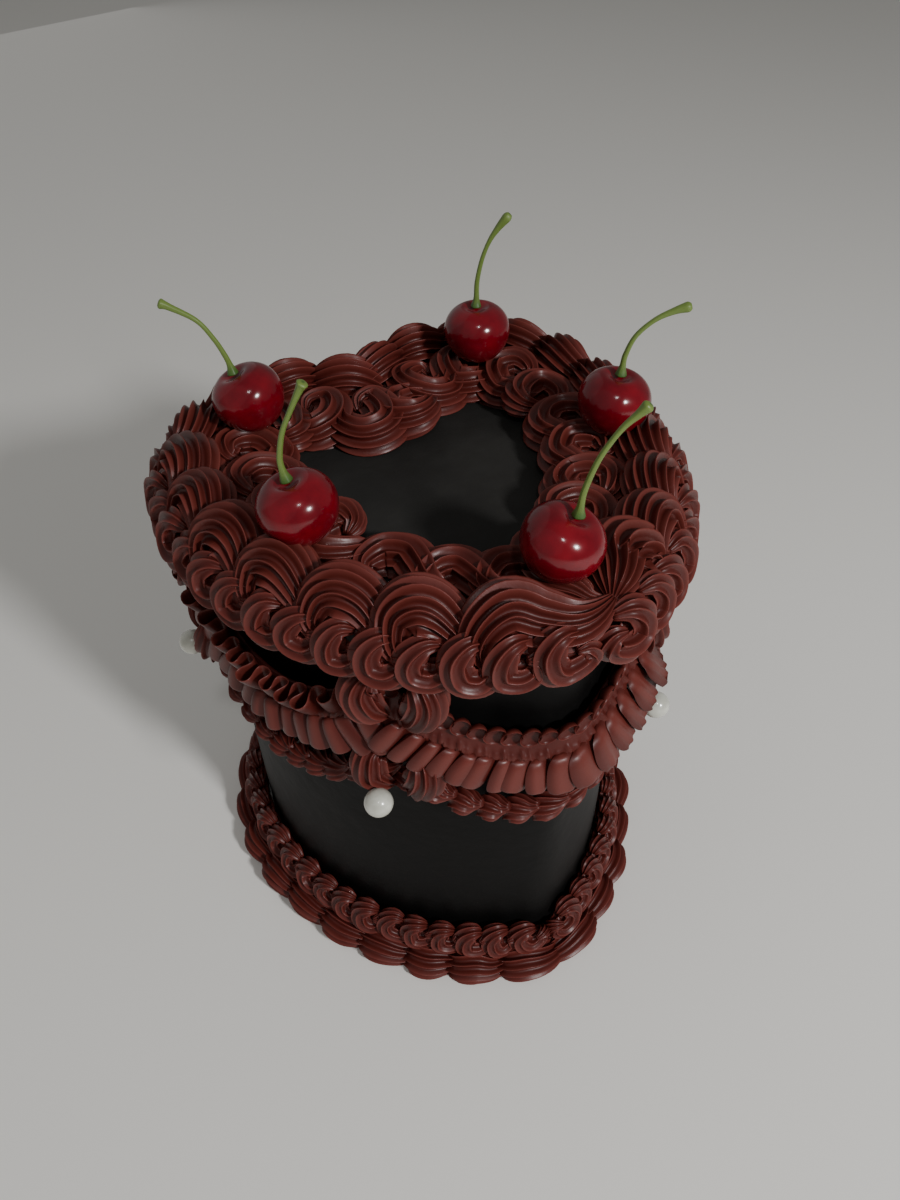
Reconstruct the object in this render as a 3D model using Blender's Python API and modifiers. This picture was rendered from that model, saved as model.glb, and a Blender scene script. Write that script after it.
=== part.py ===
"""Cherry cake: a tall heart-shaped cake in dark icing with piped borders and swags.

Metres, +Z up, base on z = 0. The heart's tip points to -Y and its notch to +Y.
A place on the wall is given by its arc length from the tip, positive toward -X,
with an offset outward from the wall and a height.
"""
import math

import bmesh
import bpy
from mathutils import Matrix, Vector

GAP = 0.0003
MERGE = 0.000003

LOBE_RADIUS = 0.0427
LOBE_X = 0.0333
LOBE_Y = 0.0302
TIP_Y = -0.0856
TIP_RADIUS = 0.0187
SIDE_RADIUS = 0.1072
BODY_HEIGHT = 0.195
BODY_EDGE_ROUND = 0.003
BODY_STATIONS = 76

TOP_SHELLS_A_SIDE = 10
TOP_SHELL_WIDTH = 0.035
TOP_SHELL_RISE = 0.0195
TOP_SHELL_OFFSET = 0.0020
TOP_SHELL_CRESTS = 5
TOP_SHELL_OVERLAP = 1.4
TOP_INNER_LIMIT = -0.0146
TOP_OUTER_LIMIT = 0.03
TOP_SHELL_DRIFT = 0.002
TOP_PROFILE = ((0.03, 0.6), (0.28, 1.0), (0.62, 0.82), (1.0, 0.25))
TIP_SEAT_RADIUS = 0.0135

INNER_SWIRLS_A_SIDE = 10
INNER_SWIRL_WIDTH = 0.023
INNER_SWIRL_RISE = 0.0125
INNER_SWIRL_OFFSET = -0.0245
INNER_SWIRL_CRESTS = 4
INNER_SWIRL_SWING = 0.004
INNER_LIMIT = -0.04
INNER_PROFILE = ((0.05, 0.7), (0.4, 1.0), (1.0, 0.35))

EDGE_SHELLS_A_SIDE = 24
EDGE_SHELL_REACH = 0.0115
EDGE_SHELL_LOW = 0.1815

FOOT_SHELLS_A_SIDE = 11
FOOT_SHELL_REACH = 0.018
FOOT_SHELL_HEIGHT = 0.0135
COLLAR_SHELLS_A_SIDE = 22
COLLAR_SHELL_REACH = 0.0095
COLLAR_SHELL_TOP = 0.026
BEAD_PHASES = (0.1, 0.75)
FOOT_PHASES = (0.1, 0.42, 0.78)
RING_GAP = 0.0008

SWAG_JOINTS = (-0.147, -0.042, 0.058, 0.156)
SWAG_REACH = 0.0145
SWAG_TOP_AT_JOINT = 0.1808
SWAG_TOP_DIP = 0.0215
SWAG_LOW_AT_JOINT = 0.141
SWAG_LOW_DIP = 0.010
SWAG_LAP = 0.0021
NOTCH_ROOM = 0.0085
SWAG_PLEAT = 0.0103
SWAG_PLEAT_IN = 0.0022
STRING_AT_JOINT = 0.1305
STRING_DIP = 0.0190
STRING_RADIUS = 0.0043
STRING_PITCH = 0.0088
STRING_SIDES = 4
STRING_OFFSET = 0.0054
FAN_HIGH = 0.1725
FAN_LOW = 0.135
FAN_HIGH_SIZE = 0.0175
FAN_LOW_SIZE = 0.0185
FAN_SIDES = 6

PEARL_RADIUS = 0.005
PEARL_HEIGHT = 0.1245
PEARL_OFFSET = 0.0165

CHERRY_RADIUS = 0.0125
CHERRY_SQUASH = 0.94
CHERRY_HEIGHT = 0.2175
CHERRY_DIMPLE = 0.0026
CHERRY_SPOTS = {
    "left_front": (-0.0577, -0.0192),
    "tip": (0.0016, -0.0722),
    "left_back": (-0.0483, 0.0481),
    "right_back": (0.0459, 0.0501),
    "right_front": (0.0607, -0.0181),
}
CHERRY_TILTS = {
    "left_front": -0.22,
    "tip": 0.38,
    "left_back": -0.41,
    "right_back": -0.04,
    "right_front": 0.12,
}
STEM_RADIUS = 0.00095
STEM_LIFT = 0.0012
STEM_SIDE = Vector((0.874, -0.486, 0.0))
STEM_AXIS = Vector((0.486, 0.874, 0.0))
STEM_PATHS = {
    "left_front": ((-0.0031, 0.0180), (-0.0013, 0.0262), (0.0019, 0.0333), (0.0065, 0.0422)),
    "tip": ((0.0049, 0.0190), (0.0078, 0.0289), (0.0123, 0.0375), (0.0189, 0.0451)),
    "left_back": ((-0.0056, 0.0160), (-0.0091, 0.0236), (-0.0158, 0.0310), (-0.0240, 0.0350)),
    "right_back": ((-0.0002, 0.0200), (0.0022, 0.0305), (0.0058, 0.0378), (0.0111, 0.0446)),
    "right_front": ((0.0019, 0.0179), (0.0050, 0.0253), (0.0116, 0.0310), (0.0210, 0.0346)),
}
STEM_SIZES = (1.6, 0.9, 0.9, 1.0, 2.0)


def side_arc():
    """Centre of the long side arc, which touches the lobe's and the tip's circles from outside."""
    lobe = Vector((LOBE_X, LOBE_Y))
    tip = Vector((0.0, TIP_Y + TIP_RADIUS))
    apart = (tip - lobe).length
    to_lobe = SIDE_RADIUS - LOBE_RADIUS
    to_tip = SIDE_RADIUS - TIP_RADIUS
    along = (to_lobe ** 2 - to_tip ** 2 + apart ** 2) / (2 * apart)
    across = math.sqrt(to_lobe ** 2 - along ** 2)
    way = (tip - lobe) / apart
    return lobe + along * way + across * Vector((way.y, -way.x))


SIDE_CENTRE = side_arc()
TIP_CENTRE = Vector((0.0, TIP_Y + TIP_RADIUS))
LOBE_CENTRE = Vector((LOBE_X, LOBE_Y))
TIP_TURN = math.atan2(*(TIP_CENTRE - SIDE_CENTRE).yx)
LOBE_TURN = math.atan2(*(LOBE_CENTRE - SIDE_CENTRE).yx)
NOTCH_TURN = math.acos(-LOBE_X / LOBE_RADIUS)
TIP_LENGTH = TIP_RADIUS * (TIP_TURN + math.pi / 2)
SIDE_LENGTH = SIDE_RADIUS * (LOBE_TURN - TIP_TURN)
HALF_LENGTH = TIP_LENGTH + SIDE_LENGTH + LOBE_RADIUS * (NOTCH_TURN - LOBE_TURN)
NOTCH_Y = LOBE_Y + LOBE_RADIUS * math.sin(NOTCH_TURN)
NOTCH_SWING = (NOTCH_TURN - math.pi / 2) * -INNER_SWIRL_OFFSET


def wall(arc, offset, height):
    """Point at an arc length from the tip, an offset outward from the wall, and a height.

    Inside the wall and past the notch, the arc goes on as a turn about the notch point.
    """
    run = abs(arc)
    side = -1.0 if arc > 0 else 1.0
    if run > HALF_LENGTH and offset < 0:
        turn = NOTCH_TURN + (run - HALF_LENGTH) / INNER_SWIRL_OFFSET
        x = side * offset * math.cos(turn)
        return Vector((x, NOTCH_Y + offset * math.sin(turn), height))
    if run < TIP_LENGTH:
        centre, radius, turn = TIP_CENTRE, TIP_RADIUS, run / TIP_RADIUS - math.pi / 2
    elif run < TIP_LENGTH + SIDE_LENGTH:
        centre, radius = SIDE_CENTRE, SIDE_RADIUS
        turn = TIP_TURN + (run - TIP_LENGTH) / SIDE_RADIUS
    else:
        centre, radius = LOBE_CENTRE, LOBE_RADIUS
        turn = LOBE_TURN + (run - TIP_LENGTH - SIDE_LENGTH) / LOBE_RADIUS
    reach = radius + offset
    x = side * (centre.x + reach * math.cos(turn))
    return Vector((x, centre.y + reach * math.sin(turn), height))


def material(name, colour, roughness):
    """Plain Principled material."""
    made = bpy.data.materials.new(name)
    made.use_nodes = True
    shader = made.node_tree.nodes["Principled BSDF"]
    shader.inputs["Base Color"].default_value = (*colour, 1.0)
    shader.inputs["Roughness"].default_value = roughness
    made.diffuse_color = (*colour, 1.0)
    return made


def place(name, mesh, collection, surface):
    """Put a mesh in the scene as a named object with its material."""
    made = bpy.data.objects.new(name, mesh)
    collection.objects.link(made)
    mesh.materials.clear()
    mesh.materials.append(surface)
    return made


def loft(name, rings):
    """Mesh skinned through equal rings of points, its ends capped."""
    shape = bmesh.new()
    rows = [[shape.verts.new(point) for point in ring] for ring in rings]
    around = len(rows[0])
    for here, there in zip(rows, rows[1:]):
        for j in range(around):
            k = (j + 1) % around
            shape.faces.new((here[j], here[k], there[k], there[j]))
    shape.faces.new(rows[0][::-1])
    shape.faces.new(rows[-1])
    bmesh.ops.recalc_face_normals(shape, faces=shape.faces[:])
    mesh = bpy.data.meshes.new(name)
    shape.to_mesh(mesh)
    shape.free()
    return mesh


def apply_modifiers(thing):
    """Replace an object's mesh by the one its modifiers make."""
    graph = bpy.context.evaluated_depsgraph_get()
    made = bpy.data.meshes.new_from_object(thing.evaluated_get(graph))
    thing.modifiers.clear()
    thing.data = made
    return thing


def keep_main_body(thing):
    """Keep the largest shell of faces: sealed hollows are filled and loose scraps dropped."""
    shape = bmesh.new()
    shape.from_mesh(thing.data)
    left = set(shape.verts)
    bodies = []
    while left:
        body_verts = set()
        edge_of_search = [left.pop()]
        while edge_of_search:
            vertex = edge_of_search.pop()
            body_verts.add(vertex)
            for edge in vertex.link_edges:
                other = edge.other_vert(vertex)
                if other in left:
                    left.remove(other)
                    edge_of_search.append(other)
        bodies.append(body_verts)
    bodies.sort(key=len)
    for scrap in bodies[:-1]:
        bmesh.ops.delete(shape, geom=list(scrap), context="VERTS")
    bmesh.ops.remove_doubles(shape, verts=shape.verts[:], dist=MERGE)
    bmesh.ops.triangulate(shape, faces=shape.faces[:])
    shape.to_mesh(thing.data)
    shape.free()


def fuse(name, meshes, collection, surface):
    """One solid from many closed meshes: a Boolean union on a collection, applied."""
    bits = bpy.data.collections.new(name + "_bits")
    bpy.context.scene.collection.children.link(bits)
    for number, mesh in enumerate(meshes[1:]):
        place(f"{name}_bit_{number}", mesh, bits, surface)
    made = place(name, meshes[0], collection, surface)
    union = made.modifiers.new("Union", "BOOLEAN")
    union.operation = "UNION"
    union.operand_type = "COLLECTION"
    union.collection = bits
    union.solver = "MANIFOLD"
    apply_modifiers(made)
    for bit in list(bits.objects):
        bpy.data.objects.remove(bit)
    bpy.data.collections.remove(bits)
    keep_main_body(made)
    return made


def cut(thing, meshes, surface, operation="DIFFERENCE"):
    """Take closed meshes out of an object, or keep only what lies in them."""
    pocket_name = thing.name + "_pockets"
    cutters = bpy.data.collections.new(pocket_name)
    bpy.context.scene.collection.children.link(cutters)
    for number, mesh in enumerate(meshes):
        cutter = place(f"{pocket_name}_{number}", mesh, cutters, surface)
        cutter.hide_render = True
        cutter.display_type = "WIRE"
    pocket = thing.modifiers.new("Pockets", "BOOLEAN")
    pocket.operation = operation
    pocket.operand_type = "COLLECTION"
    pocket.collection = cutters
    pocket.solver = "MANIFOLD"
    apply_modifiers(thing)
    for cutter in list(cutters.objects):
        bpy.data.objects.remove(cutter)
    bpy.data.collections.remove(cutters)
    keep_main_body(thing)
    return thing


def mirrored(thing):
    """Complete a ring from its -X half, cut and welded on the plane x = 0."""
    mirror = thing.modifiers.new("Mirror", "MIRROR")
    mirror.use_axis = (True, False, False)
    mirror.use_bisect_axis = (True, False, False)
    mirror.use_bisect_flip_axis = (True, False, False)
    mirror.merge_threshold = 0.00002
    return apply_modifiers(thing)


def bead_swell(phase):
    """Size of a row of shells through one pitch: a slow swell to the head, then a sharp drop."""
    return 0.62 + 0.38 * math.sin(math.pi * min(1.0, phase / 0.8) / 2) ** 1.5


def bead_ring(name, count, phases, section, collection, surface):
    """Ring of small shells round the wall, their heads toward the notch and tails to the tip."""
    pitch = HALF_LENGTH / count
    rings = []
    for number in range(-1, count + 2):
        for phase in phases:
            size = bead_swell(phase)
            arc = (number + phase) * pitch
            if arc < -pitch * 0.7 or arc > HALF_LENGTH + 0.004:
                continue
            rings.append([wall(arc, offset, height) for offset, height in section(size)])
    return mirrored(place(name, loft(name, rings), collection, surface))


def foot_section(size):
    """Section of the large shells on the base, flat below and tucked under the collar."""
    reach = GAP + (FOOT_SHELL_REACH - GAP) * size
    top = FOOT_SHELL_HEIGHT * (0.72 + 0.28 * size) - GAP
    return [(RING_GAP, 0.0), (RING_GAP, top * 0.9), (reach * 0.45, top), (reach * 0.8, top * 0.86),
            (reach, top * 0.5), (reach * 0.97, top * 0.15), (reach * 0.85, 0.0)]


def collar_section(size):
    """Section of the small shells in the corner above the large ones."""
    low = FOOT_SHELL_HEIGHT
    reach = GAP + (COLLAR_SHELL_REACH - GAP) * size
    tall = (COLLAR_SHELL_TOP - low) * (0.7 + 0.3 * size)
    return [(RING_GAP, low), (RING_GAP, low + tall), (reach * 0.6, low + tall * 0.93),
            (reach, low + tall * 0.5), (reach * 0.8, low)]


def edge_section(size):
    """Section of the small shells hanging under the top edge."""
    top = BODY_HEIGHT - GAP
    low = top - (top - EDGE_SHELL_LOW) * (0.72 + 0.28 * size)
    reach = GAP + (EDGE_SHELL_REACH - GAP) * size
    middle = (top + low) / 2
    return [(RING_GAP, top), (RING_GAP, low + 0.002), (reach * 0.55, low), (reach, middle - 0.001),
            (reach * 0.9, top)]


def ridged_shell(name, profile, head, run, offset, width, rise, crests, drift, inner, outer,
                 arc_of=None):
    """One piped shell lying along the wall, fat at the head and drawn to a point at the tail.

    The profile is (place along the run, size) of each ring across it. Rings carry crests and
    grooves, and the underside is flat, just clear of the body's top. Without arc_of, head is an arc and the run goes toward the tip; with it, both are walked.
    """
    rings = []
    floor = BODY_HEIGHT + GAP
    for along, size in profile:
        ring = []
        for step in range(2 * crests):
            angle = math.pi * (step + 0.5) / crests
            reach = size * (1.0 if step % 2 else 0.8)
            sideways = offset + drift * along ** 2 + 0.5 * width * reach * math.cos(angle)
            lift = rise * size * 0.36 + rise * 0.64 * reach * math.sin(angle)
            sideways = min(max(sideways, inner), outer)
            arc = arc_of(head + run * along) if arc_of else head - run * along
            ring.append(wall(arc, sideways, floor + max(lift, 0.0)))
        rings.append(ring)
    return loft(name, rings)


def top_border(collection, surface):
    """Large shells round the top edge, ten a side, the last tails meeting at the tip."""
    floor = BODY_HEIGHT + GAP
    pitch = (HALF_LENGTH - 0.004) / TOP_SHELLS_A_SIDE
    meshes = []
    for number in range(TOP_SHELLS_A_SIDE):
        head = HALF_LENGTH + 0.006 - number * pitch
        run = min(pitch * TOP_SHELL_OVERLAP, head + 0.001)
        for side in (1, -1):
            mesh = ridged_shell(
                "top_shell", TOP_PROFILE, head, run, TOP_SHELL_OFFSET, TOP_SHELL_WIDTH, TOP_SHELL_RISE,
                TOP_SHELL_CRESTS, TOP_SHELL_DRIFT, TOP_INNER_LIMIT, TOP_OUTER_LIMIT)
            mesh_side(mesh, side)
            meshes.append(mesh)
    seat = tip_seat(0.0)
    for vertex in seat.vertices:
        vertex.co.z = max(vertex.co.z, floor)
    meshes.append(seat)
    return fuse("top_shell_border", meshes, collection, surface)


def tip_seat(growth):
    """Ball whose upper half is the mound that the cherry at the tip sits on."""
    x, y = CHERRY_SPOTS["tip"]
    centre = Vector((x, y, BODY_HEIGHT + GAP))
    return round_mesh("tip_seat", centre, TIP_SEAT_RADIUS + growth, CHERRY_SQUASH, 0.0, 10, 8)


def mesh_side(mesh, side):
    """Flip a mesh across x = 0 for the +X side, and turn its faces out again."""
    if side > 0:
        return
    for vertex in mesh.vertices:
        vertex.co.x = -vertex.co.x
    mesh.flip_normals()


def inner_arc(distance):
    """Arc on the wall that lies abreast of a distance walked along the inner swirls' path.

    The path starts on the centre line behind the notch and runs at the swirls' offset.
    """
    lobe_arc = LOBE_RADIUS * (NOTCH_TURN - LOBE_TURN)
    lobe_scale = (LOBE_RADIUS + INNER_SWIRL_OFFSET) / LOBE_RADIUS
    side_scale = (SIDE_RADIUS + INNER_SWIRL_OFFSET) / SIDE_RADIUS
    if distance < NOTCH_SWING:
        return HALF_LENGTH + NOTCH_SWING - distance
    distance -= NOTCH_SWING
    if distance < lobe_arc * lobe_scale:
        return HALF_LENGTH - distance / lobe_scale
    distance -= lobe_arc * lobe_scale
    return HALF_LENGTH - lobe_arc - distance / side_scale


def inner_border(collection, surface):
    """Smaller swirls on the flat top, inside the large shells, swinging in and out by turns."""
    meeting = math.acos(-SIDE_CENTRE.x / (SIDE_RADIUS + INNER_SWIRL_OFFSET))
    side_walk = (SIDE_RADIUS + INNER_SWIRL_OFFSET) * (LOBE_TURN + meeting)
    lobe_walk = (LOBE_RADIUS + INNER_SWIRL_OFFSET) * (NOTCH_TURN - LOBE_TURN)
    pitch = (NOTCH_SWING + lobe_walk + side_walk) / INNER_SWIRLS_A_SIDE
    meshes = []
    for number in range(INNER_SWIRLS_A_SIDE):
        head = (number - 0.2) * pitch
        swing = INNER_SWIRL_SWING if number % 2 else -INNER_SWIRL_SWING
        for side in (1, -1):
            mesh = ridged_shell(
                "inner_swirl", INNER_PROFILE, head, pitch * 1.4, INNER_SWIRL_OFFSET, INNER_SWIRL_WIDTH,
                INNER_SWIRL_RISE, INNER_SWIRL_CRESTS, swing, INNER_LIMIT, 0.0, inner_arc)
            mesh_side(mesh, side)
            meshes.append(mesh)
    border = fuse("inner_swirl_border", meshes, collection, surface)
    steps = BODY_STATIONS // 2
    rings = []
    for height in (BODY_HEIGHT - 0.01, BODY_HEIGHT + 0.05):
        ring = []
        for number in range(-steps, steps):
            arc = (HALF_LENGTH + NOTCH_SWING) * number / steps
            ring.append(wall(arc, TOP_INNER_LIMIT - GAP, height))
        rings.append(ring)
    cut(border, [loft("inner_field", rings)], surface, "INTERSECT")
    return cut(border, [tip_seat(1.3 * GAP)], surface)


def swag(start, end):
    """Ruffled swag along the wall: a thick band that dips between joints, pleated along its run."""
    count = round((end - start) / SWAG_PLEAT)
    rings = []
    for number in range(2 * count + 1):
        along = number / (2 * count)
        arc = start + (end - start) * along
        dip = math.sin(math.pi * along) ** 0.8
        pinch = 0.55 + 0.45 * min(1.0, math.sin(math.pi * along) * 2.2)
        pleat = SWAG_PLEAT_IN if number % 2 else 0.0
        top = SWAG_TOP_AT_JOINT - SWAG_TOP_DIP * dip
        low = SWAG_LOW_AT_JOINT - SWAG_LOW_DIP * dip + pleat
        reach = (SWAG_REACH - pleat) * pinch
        middle = (top + low) / 2
        rings.append([
            wall(arc, RING_GAP, top - 0.003), wall(arc, reach * 0.6, top),
            wall(arc, reach, middle + 0.004), wall(arc, reach * 0.95, low + 0.004),
            wall(arc, reach * 0.6, low), wall(arc, RING_GAP, low + 0.006)])
    return loft("swag", rings)


def string(start, end):
    """String of small shells that hangs under a swag."""
    count = round((end - start) / STRING_PITCH)
    rings = []
    for number in range(count):
        for phase in BEAD_PHASES:
            along = (number + phase) / count
            arc = start + (end - start) * along
            size = STRING_RADIUS * bead_swell(phase)
            height = STRING_AT_JOINT - STRING_DIP * math.sin(math.pi * along)
            ring = []
            for step in range(STRING_SIDES):
                angle = math.tau * step / STRING_SIDES
                offset = STRING_OFFSET + size * math.cos(angle)
                ring.append(wall(arc, offset, height + size * math.sin(angle)))
            rings.append(ring)
    return loft("string", rings)


def fan(arc, height, size, side):
    """Fan shell at a joint of the swags: a ridged scoop whose tail points at the joint."""
    profile = ((0.0, 0.45), (0.4, 1.0), (1.0, 0.5))
    rings = []
    for along, swell in profile:
        ring = []
        for step in range(FAN_SIDES):
            angle = math.tau * (step + 0.5) / FAN_SIDES
            reach = swell * (1.0 if step % 2 else 0.86)
            offset = size * 0.42 + RING_GAP + size * 0.42 * reach * math.cos(angle)
            lift = size * 0.46 * reach * math.sin(angle)
            ring.append(wall(arc + side * size * (0.95 - along), offset, height + lift))
        rings.append(ring)
    return loft("fan", rings)


def garland(collection, surface):
    """Five swags, their strings of small shells and the fans at the joints, fused into one ring."""
    notch = HALF_LENGTH - NOTCH_ROOM
    stops = [-notch, *SWAG_JOINTS, notch]
    meshes = []
    for start, end in zip(stops, stops[1:]):
        meshes.append(swag(start - SWAG_LAP, end + SWAG_LAP))
        meshes.append(string(start, end))
    ends = [(joint, side) for joint in SWAG_JOINTS for side in (1, -1)]
    for joint, side in (*ends, (HALF_LENGTH, -1), (-HALF_LENGTH, 1)):
        meshes.append(fan(joint, FAN_HIGH, FAN_HIGH_SIZE, side))
        meshes.append(fan(joint, FAN_LOW, FAN_LOW_SIZE, side))
    ring = fuse("swag_garland", meshes, collection, surface)
    heights = ((GAP, -GAP), (GAP, BODY_HEIGHT))
    return cut(ring, [heart_block("wall_room", heights)], surface)


def round_mesh(name, centre, radius, squash, dimple, segments, rows, tilt=0.0):
    """Slightly flattened ball with a dimple for a stem on top, tilted toward STEM_SIDE."""
    shape = bmesh.new()
    bmesh.ops.create_uvsphere(shape, u_segments=segments, v_segments=rows, radius=radius)
    for vertex in shape.verts:
        aside = math.hypot(vertex.co.x, vertex.co.y)
        drop = 0.0
        if vertex.co.z > 0:
            drop = dimple * math.exp(-(aside / (radius * 0.4)) ** 2)
        vertex.co.z = vertex.co.z * squash - drop
    turn = Matrix.Translation(centre) @ Matrix.Rotation(tilt, 4, STEM_AXIS)
    bmesh.ops.transform(shape, matrix=turn, verts=shape.verts[:])
    mesh = bpy.data.meshes.new(name)
    shape.to_mesh(mesh)
    shape.free()
    return mesh


def stem(name, centre, foot, collection, surface):
    """Bowed cherry stem with a flared foot and a small knob at its end, as a beveled curve."""
    line = bpy.data.curves.new(name, "CURVE")
    line.dimensions = "3D"
    line.bevel_depth = STEM_RADIUS
    line.bevel_resolution = 1
    line.use_fill_caps = True
    line.resolution_u = 2
    points = [foot]
    for sideways, height in STEM_PATHS[name]:
        points.append(centre + STEM_SIDE * sideways + Vector((0.0, 0.0, height)))
    spline = line.splines.new("BEZIER")
    spline.bezier_points.add(len(points) - 1)
    for point, spot, size in zip(spline.bezier_points, points, STEM_SIZES):
        point.co = spot
        point.radius = size
        point.handle_left_type = "AUTO"
        point.handle_right_type = "AUTO"
    made = bpy.data.objects.new("stem_" + name, line)
    collection.objects.link(made)
    line.materials.append(surface)
    return made


def heart_block(name, levels):
    """Block with the heart's outline, skinned through (offset, height) levels."""
    steps = BODY_STATIONS // 2
    rings = []
    for offset, height in levels:
        ring = []
        for number in range(2 * steps):
            arc = HALF_LENGTH * (1 - number / steps)
            point = wall(arc, offset, height)
            if number == 0:
                point.x = 0.0
            ring.append(point)
        rings.append(ring)
    return loft(name, rings)


def body(collection, surface):
    """Solid heart-shaped body with a small round along the top edge."""
    edge = BODY_EDGE_ROUND
    levels = ((0.0, 0.0), (0.0, BODY_HEIGHT - edge), (-0.3 * edge, BODY_HEIGHT - 0.3 * edge),
              (-edge, BODY_HEIGHT))
    return place("cake_body", heart_block("cake_body", levels), collection, surface)


def build():
    """Make every part of the cake in one collection."""
    for old in list(bpy.data.objects):
        bpy.data.objects.remove(old)
    cake = bpy.data.collections.new("cherry_cake")
    bpy.context.scene.collection.children.link(cake)

    dark = material("dark_icing", (0.012, 0.012, 0.011), 0.6)
    piping = material("red_buttercream", (0.15, 0.040, 0.031), 0.45)
    red = material("cherry_red", (0.25, 0.004, 0.010), 0.15)
    green = material("stem_green", (0.07, 0.16, 0.03), 0.5)
    white = material("pearl_white", (0.75, 0.76, 0.68), 0.25)

    body(cake, dark)
    border = top_border(cake, piping)
    inner = inner_border(cake, piping)
    bead_ring("edge_shell_ring", EDGE_SHELLS_A_SIDE, BEAD_PHASES, edge_section, cake, piping)
    bead_ring("foot_shell_ring", FOOT_SHELLS_A_SIDE, FOOT_PHASES, foot_section, cake, piping)
    bead_ring("collar_shell_ring", COLLAR_SHELLS_A_SIDE, BEAD_PHASES, collar_section, cake, piping)
    swags = garland(cake, piping)

    grown = CHERRY_RADIUS + 1.3 * GAP
    for name, (x, y) in CHERRY_SPOTS.items():
        centre = Vector((x, y, CHERRY_HEIGHT))
        tilt = CHERRY_TILTS[name]
        ball = round_mesh(name, centre, CHERRY_RADIUS, CHERRY_SQUASH, CHERRY_DIMPLE, 12, 8, tilt)
        place("cherry_" + name, ball, cake, red)
        for ring in (border, inner):
            pocket = round_mesh(name, centre, grown, CHERRY_SQUASH, 0.0, 12, 8, tilt)
            cut(ring, [pocket], piping)
        top = CHERRY_RADIUS * CHERRY_SQUASH - CHERRY_DIMPLE + STEM_LIFT
        foot = centre + Matrix.Rotation(tilt, 3, STEM_AXIS) @ Vector((0.0, 0.0, top))
        stem(name, centre, foot, cake, green)

    pockets = []
    for number, joint in enumerate((*SWAG_JOINTS, HALF_LENGTH)):
        centre = wall(joint, PEARL_OFFSET, PEARL_HEIGHT)
        if joint == HALF_LENGTH:
            centre = Vector((0.0, centre.y + 0.008, PEARL_HEIGHT))
        ball = round_mesh("pearl", centre, PEARL_RADIUS, 1.0, 0.0, 8, 6)
        place(f"pearl_{number + 1}", ball, cake, white)
        grown = PEARL_RADIUS + 1.3 * GAP
        pockets.append(round_mesh("pearl", centre, grown, 1.0, 0.0, 8, 6))
    cut(swags, pockets, piping)


build()
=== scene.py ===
import bpy
import math
import numpy as np
from mathutils import Matrix, Vector


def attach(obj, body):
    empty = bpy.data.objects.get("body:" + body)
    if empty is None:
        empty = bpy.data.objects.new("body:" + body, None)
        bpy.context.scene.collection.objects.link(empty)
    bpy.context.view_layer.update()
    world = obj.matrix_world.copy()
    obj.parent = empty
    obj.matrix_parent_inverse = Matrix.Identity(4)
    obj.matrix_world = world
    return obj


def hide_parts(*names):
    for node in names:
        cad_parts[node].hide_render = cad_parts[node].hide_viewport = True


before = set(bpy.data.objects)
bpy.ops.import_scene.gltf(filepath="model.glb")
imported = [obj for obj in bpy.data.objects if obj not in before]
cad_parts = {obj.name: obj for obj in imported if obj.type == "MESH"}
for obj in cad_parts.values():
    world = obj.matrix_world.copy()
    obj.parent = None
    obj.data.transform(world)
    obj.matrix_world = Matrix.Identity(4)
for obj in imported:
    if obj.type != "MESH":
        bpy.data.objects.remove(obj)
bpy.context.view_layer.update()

# The cake's body: sponge under a smooth coat of black icing, heart-shaped, with a softly
# rounded top edge. It was smoothed with a scraper, so its sides roll a little. Each half of
# the outline is three arcs that touch smoothly: the tip's, the long side's and the lobe's.
LOBE_RADIUS, LOBE_X, LOBE_Y = 0.0427, 0.0333, 0.0302
TIP_Y, TIP_RADIUS, SIDE_RADIUS = -0.0856, 0.0187, 0.1072
BODY_TOP, EDGE_ROUND = 0.195, 0.003
UNDERSIDE = [(-0.004, 0.0), (-0.0003, 0.0)]
SIDE_START, SIDE_RINGS, EDGE_RINGS = 0.0004, 60, 6
ROLL, ROLL_UP, ROLL_ACROSS, ROLL_RADIUS = 0.00035, 9, 14, 0.07
SIDE_BLACKS = (0.0026, 0.0024, 0.0024, 1), (0.0060, 0.0056, 0.0054, 1)
# The top's blacks are lighter than the side's as a painted sheen: the top's glossy reflection is painted
# into its colour.
TOP_SHEEN_BLACKS = (0.0200, 0.0192, 0.0180, 1), (0.0300, 0.0289, 0.0270, 1)
SIDE_ENDS, TOP_BEGINS = 0.186, 0.195


def side_centre():
    """Centre of the side arc, inside which the lobe's and the tip's circles both touch.

    It is where two circles meet, round the lobe's and the tip's centres, each with the side's
    radius less its own.
    """
    apart = np.array([0.0, TIP_Y + TIP_RADIUS]) - [LOBE_X, LOBE_Y]
    gap = np.hypot(*apart)
    to_lobe, to_tip = SIDE_RADIUS - LOBE_RADIUS, SIDE_RADIUS - TIP_RADIUS
    along = (to_lobe ** 2 - to_tip ** 2 + gap ** 2) / (2 * gap)
    way = apart / gap
    aside = np.array([way[1], -way[0]])
    return [LOBE_X, LOBE_Y] + along * way + np.sqrt(to_lobe ** 2 - along ** 2) * aside


SIDE_X, SIDE_Y = side_centre()
TIP_TURN = math.atan2(TIP_Y + TIP_RADIUS - SIDE_Y, -SIDE_X)
LOBE_TURN = math.atan2(LOBE_Y - SIDE_Y, LOBE_X - SIDE_X)
NOTCH_TURN = math.acos(-LOBE_X / LOBE_RADIUS)
TIP_ARC = TIP_RADIUS * (TIP_TURN + math.pi / 2)
SIDE_ARC = SIDE_RADIUS * (LOBE_TURN - TIP_TURN)
HALF_ARC = TIP_ARC + SIDE_ARC + LOBE_RADIUS * (NOTCH_TURN - LOBE_TURN)


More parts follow.
